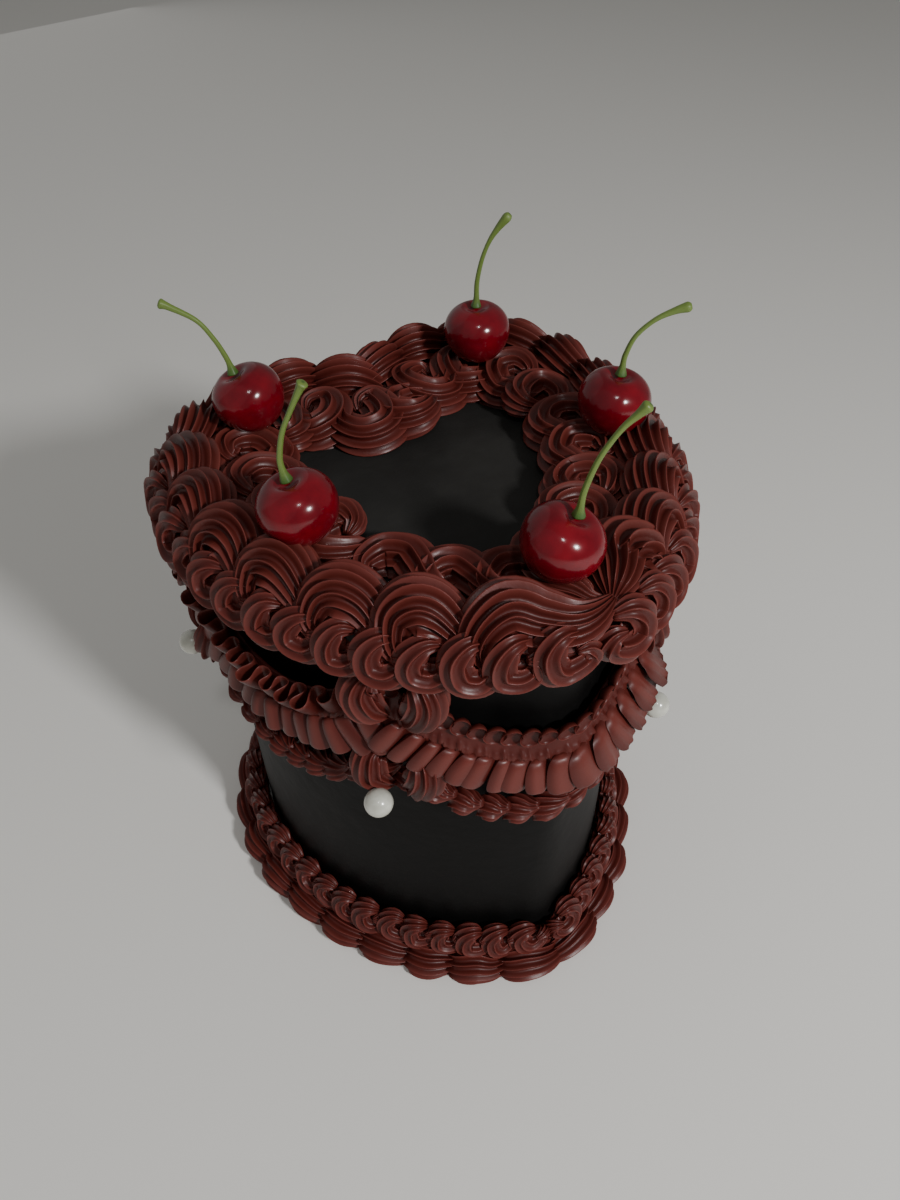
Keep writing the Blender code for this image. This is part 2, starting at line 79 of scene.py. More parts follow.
def wall(arc, offset, height):
    """Points at arc lengths from the tip (positive toward -X), offsets outward and heights.

    Each is its arc's centre plus the arc's radius and the offset, at the angle that the length
    reaches; negative lengths are the mirror image.
    """
    arc, offset, height = np.broadcast_arrays(*map(np.asarray, (arc, offset, height)))
    run = np.abs(arc)
    on_tip, on_side = run < TIP_ARC, run < TIP_ARC + SIDE_ARC
    radius = np.where(on_tip, TIP_RADIUS, np.where(on_side, SIDE_RADIUS, LOBE_RADIUS))
    x0 = np.where(on_tip, 0.0, np.where(on_side, SIDE_X, LOBE_X))
    y0 = np.where(on_tip, TIP_Y + TIP_RADIUS, np.where(on_side, SIDE_Y, LOBE_Y))
    turn = np.where(on_tip, run / TIP_RADIUS - math.pi / 2,
                    np.where(on_side, TIP_TURN + (run - TIP_ARC) / SIDE_RADIUS,
                             LOBE_TURN + (run - TIP_ARC - SIDE_ARC) / LOBE_RADIUS))
    side = np.where(arc > 0, -1.0, 1.0)
    x = side * (x0 + (radius + offset) * np.cos(turn))
    return np.stack([x, y0 + (radius + offset) * np.sin(turn), height], -1)


def skin(name, grids, tint=None):
    """Mesh of many tubes: grids is (tubes, rings, around, 3), each tube capped by end points.

    An end point is the mean of the end ring. The tint is one number for each point of the
    grids, kept as the attribute named crest.
    """
    count, rings, around, _ = grids.shape
    points = np.concatenate([grids.reshape(-1, 3), grids[:, 0].mean(1), grids[:, -1].mean(1)])
    at = np.arange(count * rings * around).reshape(count, rings, around)
    turned = np.roll(at, -1, 2)
    quads = np.stack([at[:, :-1], turned[:, :-1], turned[:, 1:], at[:, 1:]], -1).reshape(-1, 4)
    ends = count * rings * around + np.arange(2 * count).reshape(2, count)
    first = np.broadcast_to(ends[0][:, None], (count, around))
    last = np.broadcast_to(ends[1][:, None], (count, around))
    fans = np.concatenate([np.stack([first, turned[:, 0], at[:, 0]], -1).reshape(-1, 3),
                           np.stack([last, at[:, -1], turned[:, -1]], -1).reshape(-1, 3)])
    corners = np.concatenate([quads.ravel(), fans.ravel()])
    starts = np.concatenate([np.arange(len(quads)) * 4, quads.size + np.arange(len(fans)) * 3])
    mesh = bpy.data.meshes.new(name)
    mesh.vertices.add(len(points))
    mesh.vertices.foreach_set("co", points.astype(np.float32).ravel())
    mesh.loops.add(len(corners))
    mesh.loops.foreach_set("vertex_index", corners.astype(np.int32))
    mesh.polygons.add(len(starts))
    mesh.polygons.foreach_set("loop_start", starts.astype(np.int32))
    mesh.polygons.foreach_set("use_smooth", np.ones(len(starts), bool))
    if tint is not None:
        crest = mesh.attributes.new("crest", "FLOAT", "POINT")
        values = np.concatenate([np.broadcast_to(tint, grids.shape[:3]).ravel(), np.zeros(2 * count)])
        crest.data.foreach_set("value", values.astype(np.float32))
    mesh.update(calc_edges=True)
    mesh.validate()
    thing = bpy.data.objects.new(name, mesh)
    bpy.context.scene.collection.objects.link(thing)
    return thing


def heart_levels(levels, around=720):
    """Rings of the heart's outline, one for each (offset, height) level, closed at the notch."""
    arc = np.linspace(-HALF_ARC, HALF_ARC, around, endpoint=False)[None, :]
    offset, height = np.array(levels).T[:, :, None]
    grid = wall(arc, offset, height)
    grid[:, 0, 0] = 0.0
    return grid[None]


class Socket:
    """A shader output with arithmetic, for writing materials as formulas."""

    def __init__(self, tree, socket):
        self.tree, self.socket = tree, socket

    def node(self, kind, settings=None, **inputs):
        """Any other node: its type, its settings, then its inputs by name, with spaces as _,
        or by number, as at0, at1 and so on."""
        made = self.tree.nodes.new(kind)
        for key, value in (settings or {}).items():
            setattr(made, key, value)
        for key, value in inputs.items():
            target = made.inputs[int(key[2:]) if key.startswith("at") else key.replace("_", " ")]
            if isinstance(value, Socket):
                self.tree.links.new(value.socket, target)
            else:
                target.default_value = value
        return made

    def out(self, node, name=0):
        """One output of a node, as a Socket."""
        return Socket(self.tree, node.outputs[name])

    def maths(self, operation, *others):
        """A Math node on this value and the others."""
        values = {f"at{i}": value for i, value in enumerate((self, *others))}
        return self.out(self.node("ShaderNodeMath", {"operation": operation}, **values))

    def __add__(self, other):
        return self.maths("ADD", other)

    def __sub__(self, other):
        return self.maths("SUBTRACT", other)

    def __mul__(self, other):
        return self.maths("MULTIPLY", other)

    def __pow__(self, other):
        return self.maths("POWER", other)

    def __rsub__(self, other):
        return (self * -1.0) + other

    __radd__, __rmul__ = __add__, __mul__

    def ramp(self, low, high):
        """0 below low, 1 above high, smooth between."""
        node = self.node("ShaderNodeMapRange", {"interpolation_type": "SMOOTHSTEP"},
                         Value=self, From_Min=low, From_Max=high)
        return self.out(node)

    def mix(self, first, second):
        """Colour between first and second by this value."""
        node = self.node("ShaderNodeMix", {"data_type": "RGBA"}, at0=self, at6=first, at7=second)
        return self.out(node, 2)

    def noise(self, scale, detail=3.0):
        """Noise value at this position vector."""
        return self.out(self.node("ShaderNodeTexNoise", Vector=self, Scale=scale, Detail=detail))


def material(name, **constants):
    """New Principled material: returns it, its shader node and the Object coordinates."""
    made = bpy.data.materials.new(name)
    made.use_nodes = True
    shader = made.node_tree.nodes["Principled BSDF"]
    for key, value in constants.items():
        shader.inputs[key.replace("_", " ")].default_value = value
    place = made.node_tree.nodes.new("ShaderNodeTexCoord")
    return made, shader, Socket(made.node_tree, place.outputs["Object"])


def bump(place, shader, height, distance):
    """Relief from a height value, in metres of depth, on the shader's normal."""
    node = place.node("ShaderNodeBump", Height=height, Distance=distance)
    place.tree.links.new(node.outputs[0], shader.inputs["Normal"])


def feed(value, shader, name):
    """Link a value to one of the shader's sockets."""
    value.tree.links.new(value.socket, shader.inputs[name])


turns = np.linspace(0, math.pi / 2, EDGE_RINGS + 1)[1:]
levels = UNDERSIDE + [(0.0, z) for z in np.linspace(SIDE_START, BODY_TOP - EDGE_ROUND, SIDE_RINGS)]
levels += [(EDGE_ROUND * (math.cos(t) - 1), BODY_TOP + EDGE_ROUND * (math.sin(t) - 1)) for t in turns]
grid = heart_levels(levels)
rise = grid[..., 2:] / BODY_TOP
roll = ROLL * np.sin(ROLL_UP * rise + ROLL_ACROSS * grid[..., :1]) * np.sin(math.pi * np.clip(rise, 0, 1))
grid[..., :2] *= 1 + roll / ROLL_RADIUS
body = skin("cake_body_icing", grid)
black, shader, place = material("black_icing", Roughness=0.5, Specular_IOR_Level=0.09)
smear = place.out(place.node("ShaderNodeMapping", Vector=place, Scale=(1.0, 1.0, 0.35))).noise(38.0, 5.0)
streaks = smear.ramp(0.3, 0.75)
up = place.out(place.node("ShaderNodeSeparateXYZ", Vector=place), 2)
# The base colour is lighter on the top than on the sides, a painted sheen; the smear noise gives random
# streaks.
icing = up.ramp(SIDE_ENDS, TOP_BEGINS).mix(streaks.mix(*SIDE_BLACKS), streaks.mix(*TOP_SHEEN_BLACKS))
feed(icing, shader, "Base Color")
feed(smear * 0.25 + 0.38, shader, "Roughness")
bump(place, shader, place.noise(120.0, 4.0) + place.noise(30.0, 2.0) * 2.0, 0.00035)
body.data.materials.append(black)
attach(body, "root")
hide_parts("cake_body")

# The top border: large shells of dark red buttercream from a star tip, eleven a side. Each
# was started low at the outer edge, swung up over a crown and drawn to a tail at the tip side.
# One more curl lies under the cherry at the tip. Shapes here and below are in millimetres.
SHELLS_A_SIDE = 11
LEFT_HEADS = 0.027 + 0.0238 * np.arange(SHELLS_A_SIDE) - 0.00012 * np.arange(SHELLS_A_SIDE) ** 2
RIGHT_HEADS = -0.029 - 0.0219 * np.arange(SHELLS_A_SIDE)
UNDER_CHERRY_HEAD = 0.004
SHELL = [(4, 6, -6, 1.6), (1, 7.5, -4, 3.8), (-2, 6.5, 0.5, 6.4), (-1.5, 2.5, 5.5, 9.0),
         (3.5, -0.5, 7.5, 10.8), (10, 0, 5.8, 9.6), (16.5, 4, 1.5, 6.2), (22, 8.5, -3, 1.6)]
LEFT_LAST = [(4, 6, -6, 1.6), (1, 7.5, -4, 3.8), (-2, 6.5, 0.5, 6.6), (-0.5, 3, 6, 9.6),
             (5.5, 0, 8, 11.6), (14, 1.5, 6, 10.8), (24, 3.5, 6, 8.2), (34, 5, 9, 2.0)]
RIGHT_LAST = [(-5, 4, -6, 1.6), (-6, 3.5, 0, 6.2), (-3.5, 0, 5.5, 11.0), (2, -3, 7, 13.2),
              (7.5, -2.5, 7.5, 12.2), (13, 0, 8, 9.0), (18, 2.5, 8.5, 5.4), (22, 5, 9, 2.0)]
UNDER_CHERRY = [(-4, -20, 3, 2), (-4, -19, 4, 6), (-2, -16, 5, 9), (0, -12, 6, 9.8),
                (3, -8, 7, 8.4), (6, -4, 8, 6.4), (8, 0, 8.5, 4), (10, 3, 9, 1.5)]
BORDER_BASE = (0.0, BODY_TOP + 0.001)
# The cream's two reds are painted light: the darker is painted shade in the hollows, the lighter a painted
# highlight on the crests.
GROOVE_SHADE_RED, CREST_HIGHLIGHT_RED = (0.063, 0.0092, 0.0068, 1), (0.143, 0.0305, 0.0238, 1)
CREST_EDGE, CREST_PULL = 0.1, 0.13
UPWARD = np.array([0.0, 0.0, 1.0])


def path(points, rings):
    """Smooth curves through (tubes, keys, values): Catmull-Rom pieces, sampled evenly."""
    first, last = 2 * points[:, :1] - points[:, 1:2], 2 * points[:, -1:] - points[:, -2:-1]
    padded = np.concatenate([first, points, last], 1)
    t = np.linspace(0, points.shape[1] - 1, rings)
    i = np.minimum(t.astype(int), points.shape[1] - 2)
    f = (t - i)[None, :, None]
    a, b, c, d = (padded[:, i + k] for k in range(4))
    return b + 0.5 * f * (c - a + f * (2 * a - 5 * b + 4 * c - d + f * (3 * (b - c) + d - a)))


def sweep(spine, radius, up, teeth, depth, each, turn=0.0):
    """Star-section tubes along spines: (tubes, rings, teeth * each, 3) points and a crest value.

    The section's radius falls from each of its crests by depth times a rounded |sine|, which
    makes thin crests and deep hollows, with points set closer near the crests. Frames are
    carried along the spine without twist, and turn turns the section about it.
    """
    tangent = np.gradient(spine, axis=1)
    tangent /= np.linalg.norm(tangent, axis=-1, keepdims=True)
    side = np.empty_like(spine)
    last = np.broadcast_to(up, spine[:, 0].shape).astype(float)
    for ring in range(spine.shape[1]):
        last = last - (last * tangent[:, ring]).sum(-1, keepdims=True) * tangent[:, ring]
        last /= np.linalg.norm(last, axis=-1, keepdims=True)
        side[:, ring] = last
    cross = np.cross(tangent, side)
    step = np.arange(teeth * each) / each
    step -= CREST_PULL * np.sin(math.tau * step)
    angle = math.tau * step / teeth
    wave = np.sqrt(np.sin(math.pi * step) ** 2 + CREST_EDGE ** 2) - CREST_EDGE
    wave /= math.sqrt(1 + CREST_EDGE ** 2) - CREST_EDGE
    section = radius[..., None] * (1 - depth * wave)
    turned = angle + np.broadcast_to(turn, radius.shape)[..., None]
    grid = (spine[:, :, None] + (section * np.cos(turned))[..., None] * side[:, :, None]
            + (section * np.sin(turned))[..., None] * cross[:, :, None])
    # The crest value paints the cream lighter on the crests, a painted highlight, and darker in the
    # hollows, painted shade.
    return grid, np.broadcast_to(1 - wave, section.shape)


def piped(shape, arcs, toward, base, rings, teeth, depth, each, wobble=0.05):
    """Shells at many arcs, each swept along a smooth curve through its shape's rows.

    A row is (along, outward, up, radius) in mm, one table for all shells or one for each.
    Toward is -1 or 1, the way that along runs, base is the offset and height that the rows
    start from, and wobble is how unlike the shells are.
    """
    count = len(arcs)
    keys = 0.001 * np.array(np.broadcast_to(shape, (count,) + np.shape(shape)[-2:]), float)
    keys *= 1 + wobble * rng.uniform(-1, 1, (count, 1, 4))
    keys[..., :3] += 0.0004 * rng.uniform(-1, 1, keys[..., :3].shape)
    a, b, h, radius = np.moveaxis(path(keys, rings), -1, 0)
    spine = wall(arcs[:, None] + toward[:, None] * a, base[0] + b, base[1] + h)
    turn = 0.25 * rng.uniform(-1, 1, (count, 1))
    return sweep(spine, radius, UPWARD, teeth, depth, each, turn)


def creamed(name, node, grids, tint):
    """Piece of buttercream from grids and their crest values, in place of its node."""
    thing = skin(name, grids, tint)
    thing.data.materials.append(cream)
    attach(thing, "root")
    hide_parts(node)


cream, shader, place = material("red_buttercream", Roughness=0.42, Specular_IOR_Level=0.25)
crest = place.out(place.node("ShaderNodeAttribute", {"attribute_name": "crest"}), "Fac")
cloud = place.noise(90.0, 3.0)
rim = crest ** 2.2
# The base colour runs from painted shade to a painted highlight by the crest value; the cloud noise adds
# random tone.
feed((rim * 0.8 + cloud * 0.45).ramp(0.05, 1.1).mix(GROOVE_SHADE_RED, CREST_HIGHLIGHT_RED), shader, "Base Color")
feed(0.40 - rim * 0.08 + (cloud - 0.5) * 0.2, shader, "Roughness")
bump(place, shader, place.noise(700.0, 3.0), 0.00005)
rng = np.random.default_rng(7)
arcs = np.concatenate([LEFT_HEADS, RIGHT_HEADS, [UNDER_CHERRY_HEAD]])
shapes = np.repeat(np.array(SHELL)[None], len(arcs), 0)
shapes[0], shapes[SHELLS_A_SIDE], shapes[-1] = LEFT_LAST, RIGHT_LAST, UNDER_CHERRY
creamed("top_shell_border_cream", "top_shell_border",
        *piped(shapes, arcs, -np.sign(arcs), BORDER_BASE, rings=40, teeth=17, depth=0.36, each=6))

# The inner border: curls and small rosettes of the same buttercream from a smaller star tip,
# side by side on the flat top. At the front left they are long waves, lying over each other,
# and every fourth curl was piped the other way round.
INSET = 0.0205
NOTCH_Y = LOBE_Y + LOBE_RADIUS * math.sin(NOTCH_TURN)
MEET_TURN = -math.acos(-SIDE_X / (SIDE_RADIUS - INSET))
INNER_SIDE = (SIDE_RADIUS - INSET) * (LOBE_TURN - MEET_TURN)
INNER_LOBE = (LOBE_RADIUS - INSET) * (NOTCH_TURN - LOBE_TURN)
SWING_START = NOTCH_TURN - math.pi
INNER_RUN = INNER_SIDE + INNER_LOBE + INSET * (SWING_START + math.pi / 2)
CURLS_A_SIDE, FIRST_CURL = 10, 0.6
FRONT_RUN, FRONT_LOW, OTHER_WAY_IN = 0.06, 0.75, 0.002
CURL = [(5, 3, 7, 1.8), (4, 7, 8.5, 4.6), (-2, 7.5, 8.5, 7.2), (-6.5, 1.5, 7, 8.6), (-5.5, -5.5, 5.5, 8.6),
        (1.5, -8.5, 5, 8.2), (8.5, -5, 5, 7.2), (13, 1, 4.5, 5.6), (17, 6, 3, 1.8)]
WAVE = [(-1, 7, 3, 2.0), (-4.5, 3.5, 4.5, 6.0), (-1, -4, 4.5, 8.4), (6, -6, 4, 8.6), (12, -1, 4, 8.4),
        (16, 4, 4, 7.0), (20, 4, 3.5, 4.6), (23, 0, 3, 2.6), (25, -4, 2, 1.4)]


def inner_track(run, offset, height):
    """Points by length along the line INSET inside the outline, from its front, past the notch.

    The line follows the side arc and the lobe arc at smaller radii, then swings round the
    notch's corner at the radius INSET.
    """
    length = np.abs(run)
    on_side, on_lobe = length < INNER_SIDE, length < INNER_SIDE + INNER_LOBE
    swing = SWING_START - (length - INNER_SIDE - INNER_LOBE) / INSET
    turn = np.where(on_side, MEET_TURN + length / (SIDE_RADIUS - INSET),
                    np.where(on_lobe, LOBE_TURN + (length - INNER_SIDE) / (LOBE_RADIUS - INSET), swing))
    radius = np.where(on_side, SIDE_RADIUS - INSET + offset,
                      np.where(on_lobe, LOBE_RADIUS - INSET + offset, INSET - offset))
    x0 = np.where(on_side, SIDE_X, np.where(on_lobe, LOBE_X, 0.0))
    y0 = np.where(on_side, SIDE_Y, np.where(on_lobe, LOBE_Y, NOTCH_Y))
    x = x0 + radius * np.cos(turn)
    return np.stack([np.where(run > 0, -x, x), y0 + radius * np.sin(turn), height], -1)


heads = (np.arange(CURLS_A_SIDE) + FIRST_CURL) * INNER_RUN / CURLS_A_SIDE
runs = np.concatenate([heads, -heads])
front = np.abs(runs) < FRONT_RUN
waving = front & (runs > 0)
keys = 0.001 * np.where(waving[:, None, None], np.array(WAVE, float), np.array(CURL, float))
keys[..., :3] *= 1 + 0.12 * rng.uniform(-1, 1, (len(runs), 1, 3))
other_way = (np.arange(len(runs)) % 4 == 3)[:, None]
keys[..., 1] = np.where(other_way, -keys[..., 1] - OTHER_WAY_IN, keys[..., 1])
keys[..., 2] *= np.where(front, FRONT_LOW, 1.0)[:, None]
keys[..., :3] += 0.0006 * rng.uniform(-1, 1, keys[..., :3].shape)
a, b, h, radius = np.moveaxis(path(keys, 50), -1, 0)
spine = inner_track(runs[:, None] - np.sign(runs)[:, None] * a, b, BODY_TOP + h - 0.001)
turn = rng.uniform(-0.3, 0.3, (len(runs), 1))
creamed("inner_swirl_border_cream", "inner_swirl_border",
        *sweep(spine, radius, UPWARD, teeth=12, depth=0.34, each=7, turn=turn))

# The ring under the top border: small curled shells of buttercream on the wall, each a C of fat
# ridges with a little coil at its upper end, their tails toward the tip. The ring rises a
# little at the tip.
SMALL = [(3, 6, 6, 1.8), (-1, 8, 6.5, 4.2), (-4, 9.4, 2.6, 5.7), (-3, 10, -2.6, 6.2),
         (1.5, 9.8, -4, 5.8), (5.2, 9.2, -1.4, 4.4), (4.8, 9.8, 2, 3.0), (2.5, 11, 2.6, 1.2)]
EDGE_BASE, EDGE_COUNT, EDGE_LIFT = (0.0018, 0.1930), 22, 5.0
LIFT_REACH, FIRST_SMALL = 0.028, 0.65


def curled_ring(name, node, shape, count, base, rings, teeth, depth, each, lift=0.0):
    """Ring of small shells along both sides of the wall, mirrored at the tip and the notch,
    raised at the tip by lift mm, which falls off as exp(-(arc / LIFT_REACH)^2)."""
    heads = (np.arange(count) + FIRST_SMALL) * HALF_ARC / count
    arcs = np.concatenate([heads, -heads]) + 0.0006 * rng.uniform(-1, 1, 2 * count)
    shape = np.repeat(np.array(shape, float)[None], len(arcs), 0)
    shape[..., 2] += lift * np.exp(-(arcs / LIFT_REACH) ** 2)[:, None]
    creamed(name, node,
            *piped(shape, arcs, -np.sign(arcs), base, rings, teeth, depth, each, wobble=0.08))


curled_ring("edge_shell_ring_cream", "edge_shell_ring", SMALL, EDGE_COUNT, EDGE_BASE,
            rings=34, teeth=9, depth=0.32, each=7, lift=EDGE_LIFT)

# The swags: a thick ruffled band of buttercream that dips between the joints, from a petal tip
# moved up and down. Most have folds along the upper edge and flaps along the lower one. The
# front one has small cups above its seam and round petals below, which flare at its right end.
NOTCH_STOP = HALF_ARC - 0.006
JOINTS = [-NOTCH_STOP, -0.147, -0.042, 0.058, 0.156, NOTCH_STOP]
FRONT_SWAG = 2
TOP_JOINT, TOP_DIP, LOW_JOINT, LOW_DIP = 0.1795, 0.0225, 0.151, 0.019
BAND_TOP_IN, BAND_LOW_IN = 0.0038, 0.004
FOLD_PITCH, FOLD_SWELL, FOLD_DEEP, FOLD_CURL, FOLD_HALF = 0.0084, 0.0082, 0.0130, 0.17, 0.0007
ROUND_PETALS = {"pitch": 0.0061, "half": 0.0049, "box": 1.0}
SQUARE_FLAPS = {"pitch": 0.0064, "half": 0.0041, "box": 0.0}
PETAL_OUT, PETAL_UP, FLARE_OUT, FLARE_REACH = 0.0078, 0.0062, 0.0066, 0.38
CUP_PITCH, CUP_SIZE, CUP_TALL, CUP_DEEP, CUP_RIM = 0.0054, 0.0033, 1.35, 0.0019, 0.0007


def sag(f):
    """How far a swag hangs at the fraction f of its length: a half sine to the power 0.8."""
    return np.sin(math.pi * np.clip(f, 0, 1)) ** 0.8


def joined(parts):
    """One grid set and one tint from many."""
    return np.concatenate([part[0] for part in parts]), np.concatenate([part[1] for part in parts])


def band(start, end, seed):
    """Body of a swag: a wedge along its run, thin at the top, with a ragged raised seam.

    Its outer side stands out by a rounded cosine, and two sines along the run make the seam,
    a bell-shaped ridge, wander and swell.
    """
    f = np.linspace(0, 1, 240)[:, None]
    angle = np.linspace(0, math.tau, 40, endpoint=False)[None, :]
    top, low = TOP_JOINT - TOP_DIP * sag(f) - BAND_TOP_IN, LOW_JOINT - LOW_DIP * sag(f) + BAND_LOW_IN
    up = np.sin(angle)
    ragged = 0.7 * np.sin(97 * f + seed) + 0.5 * np.sin(231 * f + 2 * seed)
    seam = np.exp(-((up - 0.02 - 0.10 * ragged) / 0.11) ** 2) * (np.cos(angle) > 0)
    bulge = np.sign(np.cos(angle)) * np.abs(np.cos(angle)) ** 0.6
    out = 0.0028 + (0.0034 - 0.0022 * up) * bulge + 0.0016 * seam * (1 + 0.5 * ragged)
    grid = wall(start + (end - start) * f, out, (top + low) / 2 + (top - low) / 2 * up)
    # The tint paints the raised seam lighter, a painted highlight on the ridge; the rest of the band takes
    # the cream's painted shade.
    return grid[None], np.broadcast_to(0.3 + 0.4 * seam, grid.shape[:2])[None]


def ribbon(start, end, seed):
    """Folded ribbon on a swag's upper edge: a thin strip, fixed below and free above.

    It swings out by 1 + cosine of the fold's phase and along by the sine of twice the phase,
    which makes S-shaped folds, and both grow toward the free edge. Each fold has its own size.
    """
    noise = np.random.default_rng(seed)
    folds = round((end - start) / FOLD_PITCH)
    ends = np.linspace(0, 1, folds + 1)
    f = np.linspace(0, 1, folds * 24)[:, None]
    angle = np.linspace(0, math.tau, 20, endpoint=False)[None, :]
    v = np.cos(angle)
    size = np.interp(f, ends, noise.uniform(0.7, 1.3, folds + 1))
    phase = math.tau * folds * f + np.interp(f, ends, noise.uniform(-0.5, 0.5, folds + 1))
    free = (v + 1) / 2
    spread = (0.25 + 0.75 * free) * size * np.clip(sag(f) * 3, 0.75, 1)
    s = start + (end - start) * f + FOLD_PITCH * FOLD_CURL * np.sin(2 * phase) * spread
    cup = np.abs(np.sin(phase / 2)) ** 0.8
    out = 0.0042 + 0.0015 * free + FOLD_SWELL * spread * (0.5 + 0.5 * np.cos(phase))
    top = TOP_JOINT - TOP_DIP * sag(f) + 0.0022 * (cup - 0.7) * free
    middle = wall(s, out, top - FOLD_DEEP + FOLD_DEEP * free)
    along = np.gradient(middle, axis=0)
    normal = np.cross(along, middle[:, :1] - middle[:, 10:11])
    normal /= np.linalg.norm(normal, axis=-1, keepdims=True)
    grid = middle + normal * (FOLD_HALF * np.sin(angle) * (1.3 - 0.5 * free))[..., None]
    # The tint paints the ribbon's free upper edge lighter, a painted highlight on the folds' rims; its
    # lower part takes the painted shade.
    return grid[None], np.broadcast_to(np.clip(v, 0, 1) ** 3, grid.shape[:2])[None]


def petals(start, end, pitch, half, box, seed):
    """Row of overlapping petals on a swag's lower edge: flattened balls, each of its own size.

    Each is turned about its height, hung square to the edge and pushed out at its lower end.
    Box 1 gives round ones, wide below, with a crease, and box 0 gives squarer flaps, longer
    near the joints. Round ones flare near the start: wider, thinner, further out and fluted.
    """
    noise = np.random.default_rng(seed)
    count = round((end - start) / pitch)
    f = ((np.arange(count) + 0.5 + noise.uniform(-0.12, 0.12, count)) / count)[:, None, None]
    t = np.linspace(0.015, 0.985, 20)[None, :, None]
    angle = np.linspace(0, math.tau, 48, endpoint=False)[None, None, :]
    longer, wider, turned, leaning, further = noise.uniform(-1, 1, (5, count, 1, 1))
    near = np.exp(-((end - start) * np.minimum(f, 1 - f) / 0.018) ** 2)
    flare = box * np.exp(-(f / FLARE_REACH) ** 2)
    f = f + 0.05 * box * np.sin(math.pi * f)
    length = (0.0056 + 0.0008 * box) * (1 + 0.1 * longer + 0.45 * near * (1 - box))
    z = -np.cos(math.pi * t) * length - 0.001 * near
    z = z * (1 + 0.12 * flare) + 0.0010 * flare
    taper = 1 - 0.3 * box * (t - 0.35) - 0.35 * (1 - box) * (t - 0.5)
    girth = np.sin(math.pi * t) ** (0.22 + 0.12 * box) * taper
    x = half * girth * np.cos(angle) * (1 + 0.12 * wider) * (1 + 0.75 * flare)
    y = (0.0022 + 0.0006 * box) * girth * np.sin(angle) * np.abs(np.sin(angle)) ** (0.3 + 0.4 * box)
    y = y * (1 - 0.35 * flare) + 0.0004 * flare * np.cos(2000 * x) * (1.3 - t)
    yaw = 0.5 - 0.1 * flare + (0.4 - 0.2 * box) * turned
    x, y = x * np.cos(yaw) - y * np.sin(yaw), x * np.sin(yaw) + y * np.cos(yaw)
    y = y + 0.0032 * (0.5 - t) + 0.0006 * further + FLARE_OUT * flare * (1 - t)
    slope = -LOW_DIP * math.pi * np.cos(math.pi * f) / (end - start)
    lean = np.arctan(slope) + (0.25 - 0.15 * box) * leaning
    x, z = x * np.cos(lean) - z * np.sin(lean), x * np.sin(lean) + z * np.cos(lean)
    grid = wall(start + (end - start) * f + x, PETAL_OUT + y, LOW_JOINT - LOW_DIP * sag(f) + PETAL_UP + z)
    # The tint paints a stripe down each petal's outward face lighter, a painted highlight; the rest of the
    # petal takes the painted shade.
    return grid, np.broadcast_to(0.2 + 0.7 * np.clip(np.cos(angle - 1.2), 0, 1) ** 4, grid.shape[:3])


def cups(start, end, seed):
    """Row of small cups on a swag's upper edge: thin dishes, half sunk in the band.

    A dish's depth grows as the cube of the distance from its middle, and a bead of cream runs
    round its rim. Each is a little larger or smaller and leans its own way.
    """
    noise = np.random.default_rng(seed)
    count = round((end - start) / CUP_PITCH)
    f = ((np.arange(count) + 0.5 + noise.uniform(-0.1, 0.1, count)) / count)[:, None, None]
    t = np.linspace(0.02, 0.98, 22)[None, :, None]
    angle = np.linspace(0, math.tau, 30, endpoint=False)[None, None, :]
    size = CUP_SIZE * (1 + 0.12 * noise.uniform(-1, 1, (count, 1, 1)))
    rim = np.sin(math.pi * t) ** 0.7
    x = size * rim * np.cos(angle)
    z = CUP_TALL * size * rim * np.sin(angle)
    y = CUP_DEEP * rim ** 3 + 0.0006 * np.cos(math.pi * t) + 0.1 * x
    y = y + CUP_RIM * np.exp(-((t - 0.5) / 0.08) ** 2)
    tilt = 0.1 * noise.uniform(-1, 1, (count, 1, 1)) - 0.15
    y, z = y * np.cos(tilt) - z * np.sin(tilt), y * np.sin(tilt) + z * np.cos(tilt)
    grid = wall(start + (end - start) * f + x, 0.0040 + y, TOP_JOINT - TOP_DIP * sag(f) - 0.0022 + z)
    # The tint paints each cup's rim lighter, a painted highlight, and the dish inside it darker, painted
    # shade.
    return grid, np.broadcast_to(np.clip(1.2 - np.abs(t - 0.5) * 7, 0, 1), grid.shape[:3])


pairs = list(zip(JOINTS, JOINTS[1:]))
creamed("swag_garland_bands", "swag_garland",
        *joined([band(start, end, seed=1.7 * k) for k, (start, end) in enumerate(pairs)]))
creamed("swag_garland_cups", "swag_garland", *cups(*pairs[FRONT_SWAG], seed=42))
rows = []
for k, (start, end) in enumerate(pairs):
    kind = ROUND_PETALS if k == FRONT_SWAG else SQUARE_FLAPS
    rows.append(petals(start, end, **kind, seed=60 + k))
    if k != FRONT_SWAG:
        creamed(f"swag_garland_folds_{k + 1}", "swag_garland", *ribbon(start, end, seed=40 + k))
creamed("swag_garland_petals", "swag_garland", *joined(rows))

# The strings under the swags: rows of small twisted shells of buttercream, each with a pointed
# tail, piped close on the wall from joint to joint.
BEAD = [(-1.0, 3.5, -2.2, 2.4), (-2.0, 4.0, -0.9, 4.4), (-0.2, 4.2, 0.4, 5.2), (2.2, 4.2, 1.6, 4.6),
        (4.4, 4.6, 2.8, 3.2), (6.4, 5.8, 4.6, 1.4)]
STRING_JOINT, STRING_DIP, STRING_PITCH = 0.1310, 0.0185, 0.0090
STRING_RINGS, STRING_TWIST, FIRST_BEAD = 24, 1.6, 0.7
spots, slopes, heights = [], [], []
for start, end in pairs:
    count = round((end - start) / STRING_PITCH)
    f = 1 - (np.arange(count) + FIRST_BEAD) / count
    spots.append(start + (end - start) * f)
    heights.append(STRING_JOINT - STRING_DIP * np.sin(math.pi * f))
    slopes.append(-STRING_DIP * math.pi * np.cos(math.pi * f) / (end - start))
spots, slopes, heights = map(np.concatenate, (spots, slopes, heights))
